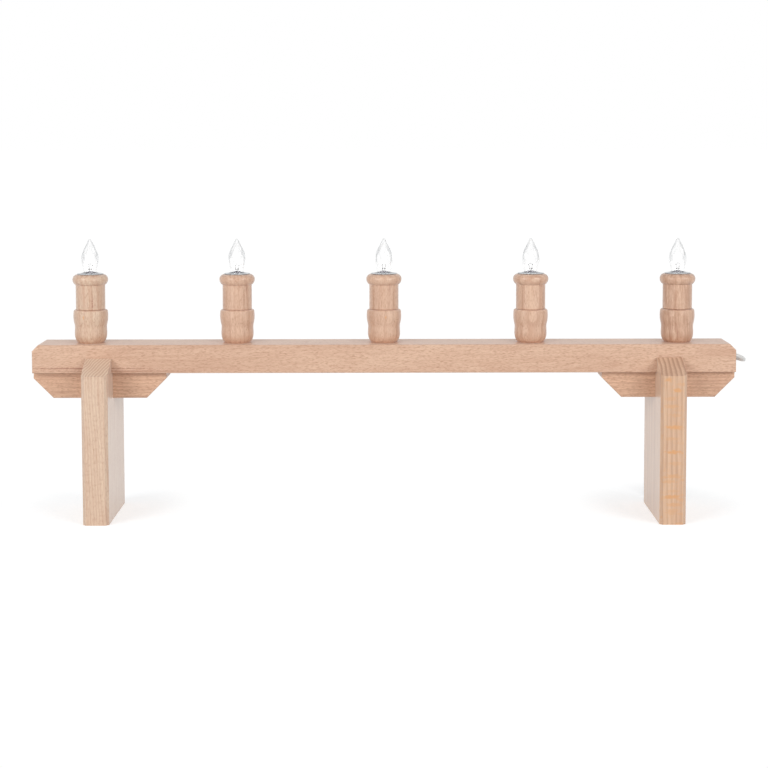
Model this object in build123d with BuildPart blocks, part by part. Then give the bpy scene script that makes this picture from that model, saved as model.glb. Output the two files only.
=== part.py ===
from build123d import *
import os
from math import atan2, cos, dist, pi, radians, sin, sqrt, tan

# Advent candle holder: a straight beech beam on two leg boards, with five turned wooden candles.
# Millimetres. The origin is on the floor, midway between the legs and on the candle line.
# +X runs along the beam towards the cord, -Y is the front, +Z is up.

# Beam
beam_length = 570.0
beam_depth = 40.0
beam_height = 23.0
beam_end_chamfer = 5.0
wood_arris = 0.8

# Brackets under the beam ends
bracket_length = 108.0
bracket_depth = 28.0
bracket_height = 21.0
bracket_end_stub = 5.0

# Leg boards, notched from above for the bracket and the beam
leg_thickness = 21.0
leg_depth = 90.0
leg_web_height = 98.5
leg_edge_chamfer = 2.5
horn_inner_rise = 12.5
horn_outer_rise = 0.5
notch_gap = 0.3
notch_arris = 0.8
joint_gap = 0.1

# Bracket screws
screw_radius = 1.75
screw_length = 30.0
screw_head_radius = 3.5
screw_head_height = 1.75
screw_offset_x = 28.0
screw_offset_y = 9.0
screw_hole_gap = 0.1

# Wiring groove under the beam and its cover strip
groove_width = 10.0
groove_depth = 9.0
cover_width = 14.0
cover_thickness = 2.5
cover_end_margin = 8.0

# Candle row
candle_count = 5
candle_end_inset = 45.0

# Turned cup
cup_height = 27.0
cup_foot_radius = 10.4
cup_belly_radius = 13.15
cup_belly_height = 7.6
cup_waist_radius = 12.95
cup_waist_height = 13.2
cup_rim_radius = 14.1
cup_rim_drop = 4.6
cup_shoulder_radius = 13.9
cup_shoulder_drop = 1.5
cup_lip_radius = 12.5
cup_spigot_radius = 6.0
cup_spigot_length = 7.0
spigot_end_gap = 0.3
wire_bore_radius = 3.5

# Turned sleeve with its bead
sleeve_length = 28.8
sleeve_radius = 11.9
sleeve_spigot_radius = 10.0
sleeve_spigot_length = 8.0
sleeve_foot_arris = 0.6
bead_height = 8.3
bead_radius = 14.4
bead_crown_drop = 4.0
bead_crease = 0.5
bead_top_radius = 11.3
tab_bore_radius = 5.5

# Metal disc on the candle
disc_radius = 10.65
disc_hole_radius = 6.3
disc_thickness = 0.4

# Lamp holder with screw shell and sprung centre contact
holder_radius = 7.9
holder_seat_rise = 2.0
holder_top_drop = 1.0
holder_floor = 3.0
shell_inner_radius = 4.85
shell_wall = 0.4
shell_height = 11.0
shell_floor_drop = 2.2
contact_head_radius = 2.4
contact_head_height = 2.0
contact_stem_radius = 1.2
contact_gap = 0.1
contact_side_gap = 0.2
contact_stem_tail = 1.0
tab_length = 6.0
tab_width = 2.4
tab_thickness = 0.6
tab_offset = 2.2

# Candle bulb with a ten millimetre screw cap
bulb_length = 44.3
bulb_depth = 15.3
cap_radius = 4.7
cap_tip_radius = 1.5
cap_tip_height = 2.5
cap_height = 9.3
glass_wall = 0.6
glass_neck_radius = 4.5
glass_radius = 7.2
glass_widest = 16.8
glass_flank_radius = 5.9
glass_flank_height = 6.2
glass_shoulder_radius = 3.9
glass_shoulder_drop = 6.3
glass_nose_radius = 1.3
glass_nose_drop = 1.1
lead_wire_radius = 0.25
lead_spacing = 2.8
lead_height = 9.0
filament_width = 5.0
filament_rise = 6.0
stem_bead_radius = 0.8
stem_bead_height = 6.0

# Wires in the beam
wire_radius = 0.65
wire_bend = 2.5
link_wire_rise = 6.1
return_wire_rise = 3.8
supply_core_offset = 0.75
supply_lead_inset = 6.0

# Cord, its bush, hank, tie and plug
cord_diameter = 3.0
cord_exit_rise = 12.0
bend_share = 0.45
bush_radius = 3.5
bush_length = 10.0
bush_gap = 0.1
lead_bore_radius = 2.2
hank_x = 247.8
hank_y = 100.0
hank_angle = 8.4
hank_run = 45.0
hank_draw_in = 1.2
hank_floor_gap = 1.1
hank_fold_radius = 9.0
turn_gap = 0.6
hank_passes = 3
hank_layers = 4
tie_width = 4.0
tie_thickness = 0.7
tie_gap = 0.3
plug_width = 35.3
plug_thickness = 13.7
plug_taper_length = 19.0
plug_flare_length = 13.0
plug_edge_radius = 3.3
plug_neck_width = 15.0
plug_neck_thickness = 10.0
plug_rest_gap = 0.2
plug_corner_cut = 4.2
relief_length = 16.0
relief_tip_radius = 2.4
relief_root_radius = 3.8
pin_radius = 2.0
pin_length = 19.0
pin_spacing = 19.0
pin_tip_round = 1.0

# Heights and places that follow from the sizes above
beam_bottom = leg_web_height + bracket_height
beam_top = beam_bottom + beam_height
beam_end = beam_length / 2
bracket_x = beam_end - bracket_length / 2
cup_top = beam_top + cup_height
sleeve_top = cup_top + sleeve_length
holder_bottom = cup_top + holder_seat_rise
holder_top = sleeve_top - holder_top_drop
bulb_tip = sleeve_top - bulb_depth
cap_bottom = bulb_tip + cap_tip_height
cap_top = cap_bottom + cap_height
glass_height = bulb_length - cap_tip_height - cap_height
shell_floor = cap_bottom - shell_floor_drop
cord_radius = cord_diameter / 2
cord_exit_z = beam_bottom + cord_exit_rise
candle_span = beam_length - 2 * candle_end_inset
candle_spacing = candle_span / (candle_count - 1)
candle_xs = [candle_spacing * n - candle_span / 2 for n in range(candle_count)]
screw_places = [(-screw_offset_x, -screw_offset_y), (screw_offset_x, screw_offset_y)]

os.makedirs("parts", exist_ok=True)


def save(part, name):
    part.label = name
    export_step(part, f"parts/{name}.step")


def turning_plane(x, z):
    """Upright plane through a candle's axis: its local X is the radius, its local Y the height."""
    return Plane(origin=(x, 0, z), x_dir=(1, 0, 0), z_dir=(0, -1, 0))


def turning_axis(x):
    return Axis((x, 0, 0), (0, 0, 1))


def facing_down(x, y, z):
    return Plane(origin=(x, y, z), x_dir=(1, 0, 0), z_dir=(0, 0, -1))


def soften(builder):
    """Break the sharp edges round the front and back faces of a bar."""
    fillet(builder.faces().filter_by(Axis.Y).edges(), radius=wood_arris)


# Beam: bevelled at the top of both ends, grooved below, bored for candles, cord and screws
with BuildPart() as beam:
    with BuildSketch(Plane.XZ.offset(-beam_depth / 2)):
        with BuildLine():
            Polyline(
                (-beam_end, beam_bottom),
                (beam_end, beam_bottom),
                (beam_end, beam_top - beam_end_chamfer),
                (beam_end - beam_end_chamfer, beam_top),
                (beam_end_chamfer - beam_end, beam_top),
                (-beam_end, beam_top - beam_end_chamfer),
                close=True,
            )
        make_face()
    extrude(amount=beam_depth)
    soften(beam)
    with BuildSketch(Plane.XY.offset(beam_bottom)):
        SlotCenterToCenter(candle_span, groove_width)
    extrude(amount=groove_depth, mode=Mode.SUBTRACT)
    with BuildSketch(Plane.XY.offset(beam_bottom)):
        Rectangle(candle_span + groove_width + 2 * cover_end_margin, cover_width)
    extrude(amount=cover_thickness, mode=Mode.SUBTRACT)
    with Locations(*[(x, 0, beam_top) for x in candle_xs]):
        CounterBoreHole(
            radius=wire_bore_radius,
            counter_bore_radius=cup_spigot_radius + joint_gap,
            counter_bore_depth=cup_spigot_length + spigot_end_gap,
        )
    with Locations(Plane(origin=(beam_end, 0, cord_exit_z), z_dir=(1, 0, 0))):
        CounterBoreHole(
            radius=lead_bore_radius,
            counter_bore_radius=bush_radius + bush_gap,
            counter_bore_depth=bush_length,
            depth=beam_end - candle_xs[-1],
        )
    for side in (-1, 1):
        for x, y in screw_places:
            with Locations(facing_down(side * bracket_x + x, y, beam_bottom)):
                Hole(
                    radius=screw_radius + screw_hole_gap,
                    depth=screw_length - bracket_height + spigot_end_gap,
                )
save(beam.part, "beam")

# Strip that closes the wiring groove, let in flush with the underside of the beam
with BuildPart() as wiring_cover:
    with BuildSketch(Plane.XY.offset(beam_bottom)):
        Rectangle(
            candle_span + groove_width + 2 * (cover_end_margin - joint_gap),
            cover_width - 2 * joint_gap,
        )
    extrude(amount=cover_thickness)
save(wiring_cover.part, "wiring_cover")


def make_bracket(name, side):
    """Bar under a beam end, with both lower corners cut at 45 degrees."""
    half = bracket_length / 2
    cut = bracket_height - bracket_end_stub
    x = side * bracket_x
    with BuildPart() as bracket:
        with BuildSketch(Plane.XZ.offset(-bracket_depth / 2)):
            with BuildLine():
                Polyline(
                    (x - half, beam_bottom),
                    (x + half, beam_bottom),
                    (x + half, beam_bottom - bracket_end_stub),
                    (x + half - cut, leg_web_height),
                    (x - half + cut, leg_web_height),
                    (x - half, beam_bottom - bracket_end_stub),
                    close=True,
                )
            make_face()
        extrude(amount=bracket_depth)
        soften(bracket)
        for offset_x, offset_y in screw_places:
            with Locations(facing_down(x + offset_x, offset_y, leg_web_height)):
                CounterSinkHole(
                    radius=screw_radius + screw_hole_gap,
                    counter_sink_radius=screw_head_radius + screw_hole_gap,
                    counter_sink_angle=90,
                )
    save(bracket.part, name)


def make_leg(name, side):
    """Leg board with a stepped notch; its horns hold the beam and slope down to the front and back."""
    half = leg_depth / 2
    beam_side = beam_depth / 2 + notch_gap
    bracket_side = bracket_depth / 2 + joint_gap
    horn_inner = beam_bottom + horn_inner_rise
    horn_outer = beam_bottom + horn_outer_rise
    with BuildPart() as leg:
        with BuildSketch(Plane.YZ.offset(side * bracket_x - leg_thickness / 2)):
            with BuildLine():
                Polyline(
                    (-half, 0),
                    (half, 0),
                    (half, horn_outer),
                    (beam_side, horn_inner),
                    (beam_side, beam_bottom),
                    (bracket_side, beam_bottom),
                    (bracket_side, leg_web_height),
                    (-bracket_side, leg_web_height),
                    (-bracket_side, beam_bottom),
                    (-beam_side, beam_bottom),
                    (-beam_side, horn_inner),
                    (-half, horn_outer),
                    close=True,
                )
            make_face()
        extrude(amount=leg_thickness)
        upright_edges = leg.edges().filter_by(Axis.Z)
        outer_corners = upright_edges.filter_by(lambda edge: abs(edge.center().Y) > half - leg_edge_chamfer)
        chamfer(outer_corners, length=leg_edge_chamfer)
        notch_faces = leg.faces().filter_by(Axis.Y).filter_by(lambda face: abs(face.center().Y) < half)
        horn_edges = notch_faces.edges().filter_by(lambda edge: edge.center().Z > beam_bottom + notch_arris)
        chamfer(horn_edges, length=notch_arris)
    save(leg.part, name)


for name, side in (("left", -1), ("right", 1)):
    make_bracket(f"{name}_bracket", side)
    make_leg(f"{name}_leg", side)

# Countersunk screws that pull the brackets up against the beam
with BuildPart() as bracket_screws:
    for side in (-1, 1):
        for x, y in screw_places:
            screw_plane = turning_plane(side * bracket_x + x, leg_web_height).offset(-y)
            with BuildSketch(screw_plane):
                with BuildLine():
                    Polyline(
                        (0, 0),
                        (screw_head_radius, 0),
                        (screw_radius, screw_head_height),
                        (screw_radius, screw_length - screw_radius),
                        (0, screw_length),
                        close=True,
                    )
                make_face()
            revolve(axis=Axis((side * bracket_x + x, y, 0), (0, 0, 1)))
save(bracket_screws.part, "bracket_screws")


def make_cup(name, x):
    """Turned cup: rounded foot, waist, swelling rim, and a spigot that goes into the beam."""
    seat = sleeve_spigot_radius + joint_gap
    seat_floor = cup_height - sleeve_spigot_length - spigot_end_gap
    rim = Vector(cup_rim_radius, cup_height - cup_rim_drop)
    shoulder = Vector(cup_shoulder_radius, cup_height - cup_shoulder_drop)
    with BuildPart() as cup:
        with BuildSketch(turning_plane(x, beam_top)):
            with BuildLine():
                Polyline(
                    (wire_bore_radius, -cup_spigot_length),
                    (cup_spigot_radius, -cup_spigot_length),
                    (cup_spigot_radius, 0),
                    (cup_foot_radius, 0),
                )
                Spline(
                    (cup_foot_radius, 0),
                    (cup_belly_radius, cup_belly_height),
                    (cup_waist_radius, cup_waist_height),
                    rim,
                    tangents=[(1, 1), (0, 1)],
                )
                Line(rim, shoulder)
                TangentArc(shoulder, (cup_lip_radius, cup_height), tangent=shoulder - rim)
                Polyline(
                    (cup_lip_radius, cup_height),
                    (seat, cup_height),
                    (seat, seat_floor),
                    (wire_bore_radius, seat_floor),
                    (wire_bore_radius, -cup_spigot_length),
                )
            make_face()
        revolve(axis=turning_axis(x))
    save(cup.part, name)


def make_sleeve(name, x):
    """Turned sleeve: plain tube with a bead at the top, bored for the lamp holder."""
    holder_bore = holder_radius + joint_gap
    bead_start = sleeve_length - bead_height
    crown = (bead_radius, sleeve_length - bead_crown_drop)
    with BuildPart() as sleeve:
        with BuildSketch(turning_plane(x, cup_top)):
            with BuildLine():
                Polyline(
                    (tab_bore_radius, -sleeve_spigot_length),
                    (sleeve_spigot_radius, -sleeve_spigot_length),
                    (sleeve_spigot_radius, 0),
                    (sleeve_radius - sleeve_foot_arris, 0),
                    (sleeve_radius, sleeve_foot_arris),
                    (sleeve_radius, bead_start),
                    (sleeve_radius + bead_crease, bead_start),
                )
                TangentArc(crown, (sleeve_radius + bead_crease, bead_start), tangent=(0, -1))
                TangentArc(crown, (bead_top_radius, sleeve_length), tangent=(0, 1))
                Polyline(
                    (bead_top_radius, sleeve_length),
                    (holder_bore, sleeve_length),
                    (holder_bore, holder_seat_rise),
                    (tab_bore_radius, holder_seat_rise),
                    (tab_bore_radius, -sleeve_spigot_length),
                )
            make_face()
        revolve(axis=turning_axis(x))
    save(sleeve.part, name)


def make_disc(name, x):
    """Thin metal disc on top of the candle, with a hole for the bulb."""
    with BuildPart() as disc:
        with BuildSketch(Plane(origin=(x, 0, sleeve_top))):
            Circle(disc_radius)
            Circle(disc_hole_radius, mode=Mode.SUBTRACT)
        extrude(amount=disc_thickness)
    save(disc.part, name)


def make_lamp_holder(name, x):
    """Moulded body that seats on the ledge inside the sleeve and carries shell and contact."""
    shell_bore = shell_inner_radius + shell_wall + joint_gap
    stem_bore = contact_stem_radius + contact_side_gap
    chamber = contact_head_radius + contact_side_gap
    with BuildPart() as holder:
        with BuildSketch(turning_plane(x, 0)):
            with BuildLine():
                Polyline(
                    (stem_bore, holder_bottom),
                    (holder_radius, holder_bottom),
                    (holder_radius, holder_top),
                    (shell_bore, holder_top),
                    (shell_bore, shell_floor),
                    (chamber, shell_floor),
                    (chamber, holder_bottom + holder_floor),
                    (stem_bore, holder_bottom + holder_floor),
                    close=True,
                )
            make_face()
        revolve(axis=turning_axis(x))
    save(holder.part, name)


def make_screw_shell(name, x):
    """Brass shell that takes the thread of the bulb's cap."""
    with BuildPart() as shell:
        with BuildSketch(Plane(origin=(x, 0, shell_floor))):
            Circle(shell_inner_radius + shell_wall)
            Circle(shell_inner_radius, mode=Mode.SUBTRACT)
        extrude(amount=shell_height)
    save(shell.part, name)


def make_contact(name, x):
    """Sprung centre contact: a flat head under the bulb's tip on a stem through the holder's floor."""
    head_top = bulb_tip - contact_gap
    head_bottom = head_top - contact_head_height
    with BuildPart() as contact:
        with BuildSketch(turning_plane(x, 0)):
            with BuildLine():
                Polyline(
                    (0, holder_bottom - contact_stem_tail),
                    (contact_stem_radius, holder_bottom - contact_stem_tail),
                    (contact_stem_radius, head_bottom),
                    (contact_head_radius, head_bottom),
                    (contact_head_radius, head_top),
                    (0, head_top),
                    close=True,
                )
            make_face()
        revolve(axis=turning_axis(x))
    save(contact.part, name)


def glass_points(inset):
    """Half outline of the pointed bulb, drawn in by the wall thickness for its inside."""
    return [
        (glass_neck_radius - inset, 0),
        (glass_flank_radius - inset, glass_flank_height),
        (glass_radius - inset, glass_widest),
        (glass_shoulder_radius - inset, glass_height - glass_shoulder_drop - inset),
        (glass_nose_radius - inset, glass_height - glass_nose_drop - inset),
        (0, glass_height - inset),
    ]


def make_bulb_glass(name, x):
    """Hollow pointed glass, open at its neck."""
    with BuildPart() as glass:
        for inset, mode in ((0.0, Mode.ADD), (glass_wall, Mode.SUBTRACT)):
            outline = glass_points(inset)
            with BuildSketch(turning_plane(x, cap_top)):
                with BuildLine():
                    Spline(*outline, tangents=[(0.2, 1), (-1, 0)])
                    Polyline(outline[-1], (0, 0), outline[0])
                make_face()
            revolve(axis=turning_axis(x), mode=mode)
    save(glass.part, name)


def make_bulb_cap(name, x):
    """Screw cap with its tapered insulator and contact tip."""
    with BuildPart() as cap:
        with BuildSketch(turning_plane(x, bulb_tip)):
            with BuildLine():
                Polyline(
                    (0, 0),
                    (cap_tip_radius, 0),
                    (cap_radius, cap_tip_height),
                    (cap_radius, cap_tip_height + cap_height),
                    (0, cap_tip_height + cap_height),
                    close=True,
                )
            make_face()
        revolve(axis=turning_axis(x))
    save(cap.part, name)


def make_bulb_filament(name, x):
    """Two lead wires from the cap, tied by a glass bead, with the filament looped between them."""
    half_lead = lead_spacing / 2
    half_filament = filament_width / 2
    top = lead_height + filament_rise
    with BuildPart() as filament:
        with BuildLine() as filament_path:
            FilletPolyline(
                (x - half_lead, 0, cap_top),
                (x - half_lead, 0, cap_top + stem_bead_height),
                (x - half_filament, 0, cap_top + lead_height),
                (x, 0, cap_top + top),
                (x + half_filament, 0, cap_top + lead_height),
                (x + half_lead, 0, cap_top + stem_bead_height),
                (x + half_lead, 0, cap_top),
                radius=stem_bead_radius,
            )
        with BuildSketch(Plane(origin=(x - half_lead, 0, cap_top))):
            Circle(lead_wire_radius)
        sweep(path=filament_path.wires()[0])
        with Locations(Location((x, 0, cap_top + stem_bead_height / 2), (0, 90, 0))):
            Cylinder(stem_bead_radius, lead_spacing + 2 * stem_bead_radius)
    save(filament.part, name)


for number, x in enumerate(candle_xs, start=1):
    make_cup(f"candle_cup_{number}", x)
    make_sleeve(f"candle_sleeve_{number}", x)
    make_disc(f"drip_disc_{number}", x)
    make_lamp_holder(f"lamp_holder_{number}", x)
    make_screw_shell(f"screw_shell_{number}", x)
    make_contact(f"centre_contact_{number}", x)
    make_bulb_glass(f"bulb_glass_{number}", x)
    make_bulb_cap(f"bulb_cap_{number}", x)
    make_bulb_filament(f"bulb_filament_{number}", x)

# Solder tabs under the lamp holders, two to each
with BuildPart() as terminal_tabs:
    for x in candle_xs:
        with Locations((x - tab_offset, 0, holder_bottom), (x + tab_offset, 0, holder_bottom)):
            Box(tab_thickness, tab_width, tab_length, align=(Align.CENTER, Align.CENTER, Align.MAX))
save(terminal_tabs.part, "terminal_tabs")

# Wires: a link from each candle to the next, and two ends that join the supply lead at the last one
wire_top = holder_bottom - tab_length
link_z = beam_bottom + link_wire_rise
return_z = beam_bottom + return_wire_rise
supply_start = candle_xs[-1] + supply_lead_inset
first_tab = candle_xs[0] - tab_offset
last_tab = candle_xs[-1] + tab_offset
wire_routes = [
    [
        (left + tab_offset, 0, wire_top),
        (left + tab_offset, 0, link_z),
        (right - tab_offset, 0, link_z),
        (right - tab_offset, 0, wire_top),
    ]
    for left, right in zip(candle_xs, candle_xs[1:])
]
wire_routes.append([
    (first_tab, supply_core_offset, wire_top),
    (first_tab, supply_core_offset, return_z),
    (last_tab, supply_core_offset, return_z),
    (last_tab, supply_core_offset, cord_exit_z),
    (supply_start, supply_core_offset, cord_exit_z),
])
wire_routes.append([
    (last_tab, -supply_core_offset, wire_top),
    (last_tab, -supply_core_offset, cord_exit_z),
    (supply_start, -supply_core_offset, cord_exit_z),
])
with BuildPart() as wiring_loom:
    for route in wire_routes:
        with BuildLine() as wire_path:
            FilletPolyline(*route, radius=wire_bend)
        with BuildSketch(Plane(origin=route[0], z_dir=(0, 0, -1))):
            Circle(wire_radius)
        sweep(path=wire_path.wires()[0])
    with BuildSketch(Plane(origin=(supply_start, 0, cord_exit_z), z_dir=(1, 0, 0))):
        Circle(cord_radius)
    extrude(amount=beam_end - supply_start)
save(wiring_loom.part, "wiring_loom")

# Bush that guides the cord out of the end of the beam
with BuildPart() as cord_bush:
    with BuildSketch(Plane(origin=(beam_end - bush_length, 0, cord_exit_z), z_dir=(1, 0, 0))):
        Circle(bush_radius)
        Circle(cord_radius + bush_gap, mode=Mode.SUBTRACT)
    extrude(amount=bush_length)
save(cord_bush.part, "cord_bush")

# Hank of the put-away cord, lying behind the right leg in line with it.
# Its loops spiral in and out in four layers, all drawn in alike at the waist by the tie.
hank_plane = Plane(
    origin=(hank_x, hank_y, 0),
    x_dir=(cos(radians(hank_angle)), -sin(radians(hank_angle)), 0),
    z_dir=(0, 0, 1),
)
turn_pitch = cord_diameter + turn_gap
half_step = turn_pitch / 2
half_run = hank_run / 2
draw_angle = 2 * atan2(hank_draw_in, half_run)
inner_width = hank_fold_radius - half_step / 2
outer_width = inner_width + (hank_passes + 1) * half_step
floor_layer = hank_floor_gap + cord_radius


def hank_point(x, y, z):
    return hank_plane.from_local_coords(Vector(x, y, z))


def hank_direction(x, y, z):
    return (hank_point(x, y, z) - hank_point(0, 0, 0)).normalized()


def hank_runs():
    """Side, half width, start layer and end layer of each run, from the floor up.

    The left runs climb where the spiral turns round; the last right run climbs to the plug.
    """
    runs = [(-1, outer_width, 0, 0)]
    for layer in range(hank_layers):
        inwards = layer % 2 == 0
        for step in range(hank_passes):
            place = hank_passes - step if inwards else step + 1
            side = 1 if step % 2 == 0 else -1
            runs.append((side, inner_width + place * half_step, layer, layer))
        if layer < hank_layers - 1:
            runs.append((-1, inner_width if inwards else outer_width, layer, layer + 1))
    side, width, layer, _ = runs[-1]
    runs[-1] = (side, width, layer, layer + 1)
    return runs


def layer_height(layer):
    return floor_layer + layer * turn_pitch


def hank_stations():
    """Points and directions at both ends of every run of the hank, then the lead to the plug."""
    stations = []
    for side, width, start_layer, end_layer in hank_runs():
        way = -side
        lean = side * sin(draw_angle)
        along = way * cos(draw_angle)
        start = hank_point(side * width, -way * half_run, layer_height(start_layer))
        end = hank_point(side * width, way * half_run, layer_height(end_layer))
        stations.append((start, hank_direction(-lean, along, 0)))
        stations.append((end, hank_direction(lean, along, 0)))
    lead_width = hank_runs()[-1][1] - plug_x
    lead_start = layer_height(hank_layers)
    lead_rise = plug_axis - lead_start
    middle = hank_point(
        plug_x + lead_width / 2,
        -half_run - lead_width / 2,
        lead_start + lead_rise / 2,
    )
    stations.append((middle, hank_direction(-1, 0, lead_rise / (pi * lead_width / 2))))
    stations.append((hank_point(plug_x, -half_run, plug_axis), hank_direction(0, 1, 0)))
    return stations


def biarc_joint(start, start_way, end, end_way, same_way=1e-9):
    """Point and direction where two tangent arcs from start to end meet."""
    chord = end - start
    spread = start_way + end_way
    a = 2 * (start_way.dot(end_way) - 1)
    b = -2 * chord.dot(spread)
    c = chord.dot(chord)
    reach = -c / b if abs(a) < same_way else (-b - sqrt(b * b - 4 * a * c)) / (2 * a)
    joint = (start + end + (start_way - end_way) * reach) * 0.5
    joint_way = (chord - spread * reach).normalized()
    return joint, joint_way


plug_x = -half_step / 2
top_layer = layer_height(hank_layers - 1)
tie_top = top_layer + half_step + cord_radius + tie_gap
plug_axis = tie_top + tie_thickness + plug_rest_gap + plug_thickness / 2
relief_start = cord_diameter - half_run
stations = hank_stations()

with BuildPart() as cord_hank:
    with BuildLine() as hank_path:
        for (start, start_way), (end, end_way) in zip(stations, stations[1:]):
            joint, joint_way = biarc_joint(start, start_way, end, end_way)
            TangentArc(start, joint, tangent=start_way)
            TangentArc(joint, end, tangent=joint_way)
        Line(stations[-1][0], hank_point(plug_x, relief_start, plug_axis))
    hank_wire = hank_path.wires()[0]
    with BuildSketch(Plane(origin=stations[0][0], z_dir=stations[0][1])):
        Circle(cord_radius)
    sweep(path=hank_wire)
save(cord_hank.part, "cord_hank")

# Free stretch: out of the beam end, back round behind it, down behind the leg and into the hank
hank_start, hank_start_way = stations[0]
drop_points = [
    Vector(beam_end, 0, cord_exit_z),
    Vector(beam_end + 5, 0, cord_exit_z),
    Vector(beam_end + 9.6, 1.5, cord_exit_z - 1.7),
    Vector(beam_end + 12.8, 5.2, cord_exit_z - 3.8),
    Vector(beam_end + 14.2, 10.2, cord_exit_z - 5.5),
    Vector(beam_end + 14.1, 16.2, cord_exit_z - 6.7),
    Vector(beam_end + 12.8, 23, cord_exit_z - 7.5),
    Vector(beam_end + 10.2, 31, cord_exit_z - 8.2),
    Vector(beam_end + 6.2, 40, cord_exit_z - 9.4),
    Vector(beam_end + 1, 49, cord_exit_z - 11.7),
    Vector(279, 57, 115.6),
    Vector(271, 63, 108.6),
    Vector(263.2, 66.6, 99),
    Vector(256.4, 67.8, 86),
    Vector(250.6, 66.8, 70.5),
    Vector(245.2, 64.2, 54),
    Vector(239.8, 60.6, 38.8),
    Vector(234.8, 57.2, 26.2),
    Vector(230.4, 55.6, 16.8),
    Vector(227.4, 57, 9.6),
    Vector(226.2, 61.4, 5),
    Vector(226.4, 66.8, 3),
    hank_start - hank_start_way * 8,
    hank_start,
]


def corner_turn(before, corner, after):
    return (corner - before).get_angle(after - corner)


def corner_radius(before, corner, after):
    """Largest easy bend at a corner of the route."""
    shorter = min((corner - before).length, (after - corner).length)
    return bend_share * shorter / tan(radians(corner_turn(before, corner, after) / 2))


corners = list(zip(drop_points, drop_points[1:], drop_points[2:]))
drop_radii = [corner_radius(*corner) for corner in corners]
with BuildPart() as cord_drop:
    with BuildLine() as drop_path:
        FilletPolyline(*drop_points, radius=drop_radii)
    drop_wire = drop_path.wires()[0]
    with BuildSketch(Plane(origin=drop_wire @ 0, z_dir=drop_wire % 0)):
        Circle(cord_radius)
    sweep(path=drop_wire)
save(cord_drop.part, "cord_drop")

# Band that ties the hank at its waist
with BuildPart() as cord_tie:
    left_side = outer_width - hank_draw_in + cord_radius + tie_gap
    right_side = outer_width - half_step - hank_draw_in + cord_radius + tie_gap
    tie_bottom = hank_floor_gap - tie_gap
    tie_middle = ((right_side - left_side) / 2, (tie_top + tie_bottom) / 2)
    tie_plane = Plane(
        origin=hank_point(0, tie_width / 2, 0),
        x_dir=hank_plane.x_dir,
        z_dir=-hank_plane.y_dir,
    )
    with BuildSketch(tie_plane):
        with Locations(tie_middle):
            RectangleRounded(
                left_side + right_side + 2 * tie_thickness,
                tie_top - tie_bottom + 2 * tie_thickness,
                cord_radius + tie_thickness,
            )
            RectangleRounded(left_side + right_side, tie_top - tie_bottom, cord_radius, mode=Mode.SUBTRACT)
    extrude(amount=tie_width)
save(cord_tie.part, "cord_tie")


def plug_plane(distance):
    """Plane across the plug, this far along it from the tip of its strain relief."""
    return Plane(
        origin=hank_point(plug_x, relief_start + distance, plug_axis),
        x_dir=hank_plane.x_dir,
        z_dir=hank_plane.y_dir,
    )


# Flat two-pin plug: a tapered strain relief that widens into a body with cut corners
with BuildPart() as plug_body:
    with BuildSketch(plug_plane(0)):
        Circle(relief_tip_radius)
    with BuildSketch(plug_plane(relief_length)):
        Circle(relief_root_radius)
    loft()
    with BuildSketch(plug_plane(relief_length)):
        RectangleRounded(plug_neck_width, plug_neck_thickness, plug_edge_radius)
    with BuildSketch(plug_plane(relief_length + plug_taper_length)):
        RectangleRounded(plug_width - 2 * plug_corner_cut, plug_thickness, plug_edge_radius)
    loft()
    with BuildSketch(plug_plane(relief_length + plug_taper_length)):
        RectangleRounded(plug_width - 2 * plug_corner_cut, plug_thickness, plug_edge_radius)
    with BuildSketch(plug_plane(relief_length + plug_taper_length + plug_flare_length)):
        RectangleRounded(plug_width, plug_thickness, plug_edge_radius)
    loft()
save(plug_body.part, "plug_body")

with BuildPart() as plug_pins:
    with BuildSketch(plug_plane(relief_length + plug_taper_length + plug_flare_length)):
        with GridLocations(pin_spacing, 0, 2, 1):
            Circle(pin_radius)
    extrude(amount=pin_length)
    tip_edges = plug_pins.edges().filter_by(GeomType.CIRCLE).group_by(Axis.Y)[-1]
    fillet(tip_edges, radius=pin_tip_round)
save(plug_pins.part, "plug_pins")


def least_gap(wire, diameter, spacing=1.5):
    """Smallest clear distance of a winding to itself, measured on points along it."""
    count = int(wire.length / spacing)
    points = [tuple(wire @ (n / count)) for n in range(count + 1)]
    skip = int(3 * diameter / spacing) + 1
    gaps = []
    for n, point in enumerate(points):
        for other in points[n + skip:]:
            gaps.append(dist(point, other))
    return min(gaps) - diameter


section = pi * cord_radius ** 2
print("hank length", round(hank_wire.length, 1), "least gap", round(least_gap(hank_wire, cord_diameter), 2))
print("hank volume share", round(cord_hank.part.volume / (section * hank_wire.length), 4))
print("free stretch length", round(drop_wire.length, 1))
print("free stretch volume share", round(cord_drop.part.volume / (section * drop_wire.length), 4))
print("free stretch runs", [round((b - a).length, 1) for a, b in zip(drop_points, drop_points[1:])])
print("free stretch turns", [round(corner_turn(*corner)) for corner in corners])
print("free stretch radii", [round(radius, 1) for radius in drop_radii])
print("cord length", round(hank_wire.length + drop_wire.length))
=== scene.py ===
from math import atan2, cos, pi, radians, sin

import bmesh
import bpy
from mathutils import Euler, Matrix, Vector
from mathutils.geometry import interpolate_bezier


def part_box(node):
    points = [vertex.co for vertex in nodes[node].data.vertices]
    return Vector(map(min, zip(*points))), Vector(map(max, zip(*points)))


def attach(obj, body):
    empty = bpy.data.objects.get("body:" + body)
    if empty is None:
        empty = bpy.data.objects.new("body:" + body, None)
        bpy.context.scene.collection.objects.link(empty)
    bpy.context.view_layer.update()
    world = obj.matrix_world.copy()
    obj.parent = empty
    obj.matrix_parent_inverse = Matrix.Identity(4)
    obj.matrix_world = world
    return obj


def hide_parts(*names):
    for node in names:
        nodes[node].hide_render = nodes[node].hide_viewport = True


# Advent candle holder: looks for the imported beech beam, its legs and its five electric candles.
# Metres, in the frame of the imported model: +X towards the cord, -Y to the front, +Z up.

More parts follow.
